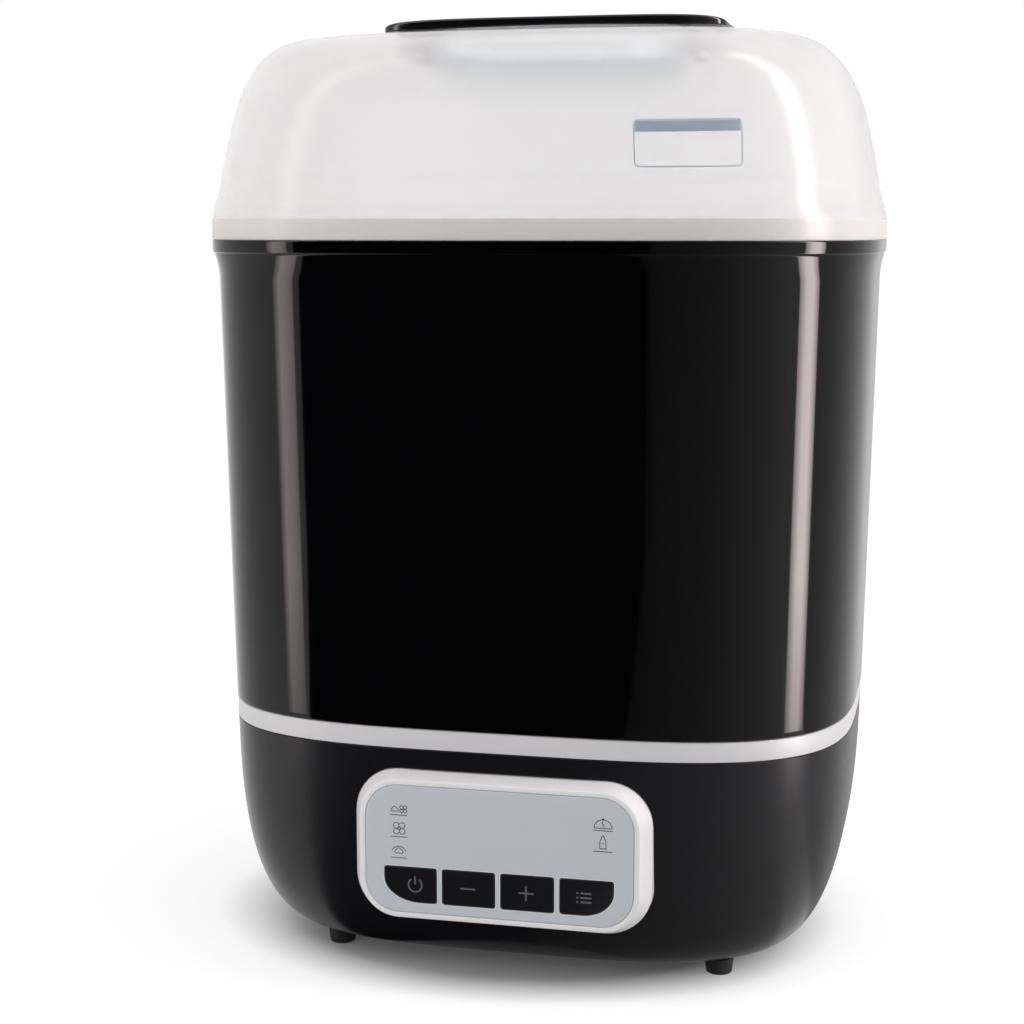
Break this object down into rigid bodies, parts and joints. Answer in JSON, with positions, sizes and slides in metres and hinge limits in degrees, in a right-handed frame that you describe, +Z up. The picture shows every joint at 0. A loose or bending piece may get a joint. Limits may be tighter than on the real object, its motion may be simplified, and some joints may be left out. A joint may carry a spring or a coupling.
{
  "type": "steam bottle sterilizer",
  "caption": "Steam bottle sterilizer and dryer: heated base with control panel, lift-off chamber with bottle rack and tray, frosted domed lid with a grip.",
  "frame": {"origin": "on the floor, under the middle of the object", "axes": "+Z up, the control panel faces -Y, +X to the right of someone facing the panel"},
  "size_m": [0.27, 0.226, 0.3821],
  "materials": {
    "base_black": "satin black moulded plastic",
    "gloss_black": "polished black moulded plastic",
    "pale_plastic": "near-white moulded plastic",
    "rack_white": "white moulded plastic",
    "lid_frost": "frosted, see-through moulded plastic",
    "lens_grey": "pale grey tinted panel lens",
    "key_black": "polished black keys",
    "foot_rubber": "black rubber",
    "seal_rubber": "pale silicone",
    "steel": "stainless steel",
    "brass": "plain brass",
    "heater_fins": "plain aluminium fins",
    "motor_can": "plated steel can",
    "inner_plastic": "dark inner mouldings",
    "board_green": "circuit board",
    "filter_felt": "grey filter felt"
  },
  "bodies": {
    "base": {"base_shell": "base_black", "foot_front_left": "foot_rubber", "foot_front_right": "foot_rubber", "foot_rear_left": "foot_rubber", "foot_rear_right": "foot_rubber", "deck": "pale_plastic", "deck_rim": "pale_plastic", "base_screws": "steel", "heating_plate": "steel", "plate_seal": "seal_rubber", "heating_element": "steel", "plate_clamps": "steel", "clamp_screws": "steel", "control_thermostat": "inner_plastic", "safety_thermostat": "inner_plastic", "temperature_sensor": "brass", "fan_scroll": "inner_plastic", "fan_cover": "inner_plastic", "fan_motor": "motor_can", "motor_screws": "steel", "fan_screws": "steel", "air_duct": "inner_plastic", "air_heater": "heater_fins", "vent_hood": "pale_plastic", "bezel": "pale_plastic", "panel_lens": "lens_grey", "display_module": "inner_plastic", "control_board": "board_green", "key_switches": "inner_plastic", "control_screws": "steel", "power_board": "board_green", "relay": "inner_plastic", "transformer": "motor_can", "capacitor": "inner_plastic", "terminal_block": "inner_plastic", "power_screws": "steel", "cord_gland": "foot_rubber", "gland_nut": "inner_plastic"},
    "power_key": {"key_power": "key_black"},
    "minus_key": {"key_minus": "key_black"},
    "plus_key": {"key_plus": "key_black"},
    "menu_key": {"key_menu": "key_black"},
    "fan": {"impeller": "pale_plastic", "fan_shaft": "steel"},
    "filter_door": {"filter_cover": "base_black", "filter_pad": "filter_felt"},
    "chamber": {"chamber": "gloss_black"},
    "rack": {"bottle_rack": "rack_white"},
    "tray": {"accessory_tray": "rack_white"},
    "lid": {"lid_shell": "lid_frost", "lid_well": "lid_frost", "lid_grip": "gloss_black", "grip_screws": "steel"}
  },
  "joints": [
    {"name": "power_key_press", "type": "slide", "parent": "base", "child": "power_key", "axis": [0, 1, 0], "range_m": [0, 0.0008], "stiffness_N_per_m": 300},
    {"name": "minus_key_press", "type": "slide", "parent": "base", "child": "minus_key", "axis": [0, 1, 0], "range_m": [0, 0.0008], "stiffness_N_per_m": 300},
    {"name": "plus_key_press", "type": "slide", "parent": "base", "child": "plus_key", "axis": [0, 1, 0], "range_m": [0, 0.0008], "stiffness_N_per_m": 300},
    {"name": "menu_key_press", "type": "slide", "parent": "base", "child": "menu_key", "axis": [0, 1, 0], "range_m": [0, 0.0008], "stiffness_N_per_m": 300},
    {"name": "fan_spin", "type": "hinge", "parent": "base", "child": "fan", "pos_m": [0.079, 0, 0.043], "axis": [1, 0, 0], "continuous": true},
    {"name": "filter_pull", "type": "slide", "parent": "base", "child": "filter_door", "axis": [1, 0, 0], "range_m": [0, 0.05]},
    {"name": "chamber_lift", "type": "slide", "parent": "base", "child": "chamber", "axis": [0, 0, 1], "range_m": [0, 0.12]},
    {"name": "rack_lift", "type": "slide", "parent": "chamber", "child": "rack", "axis": [0, 0, 1], "range_m": [0, 0.2]},
    {"name": "tray_lift", "type": "slide", "parent": "rack", "child": "tray", "axis": [0, 0, 1], "range_m": [0, 0.12]},
    {"name": "lid_lift", "type": "slide", "parent": "tray", "child": "lid", "axis": [0, 0, 1], "range_m": [0, 0.15]}
  ]
}
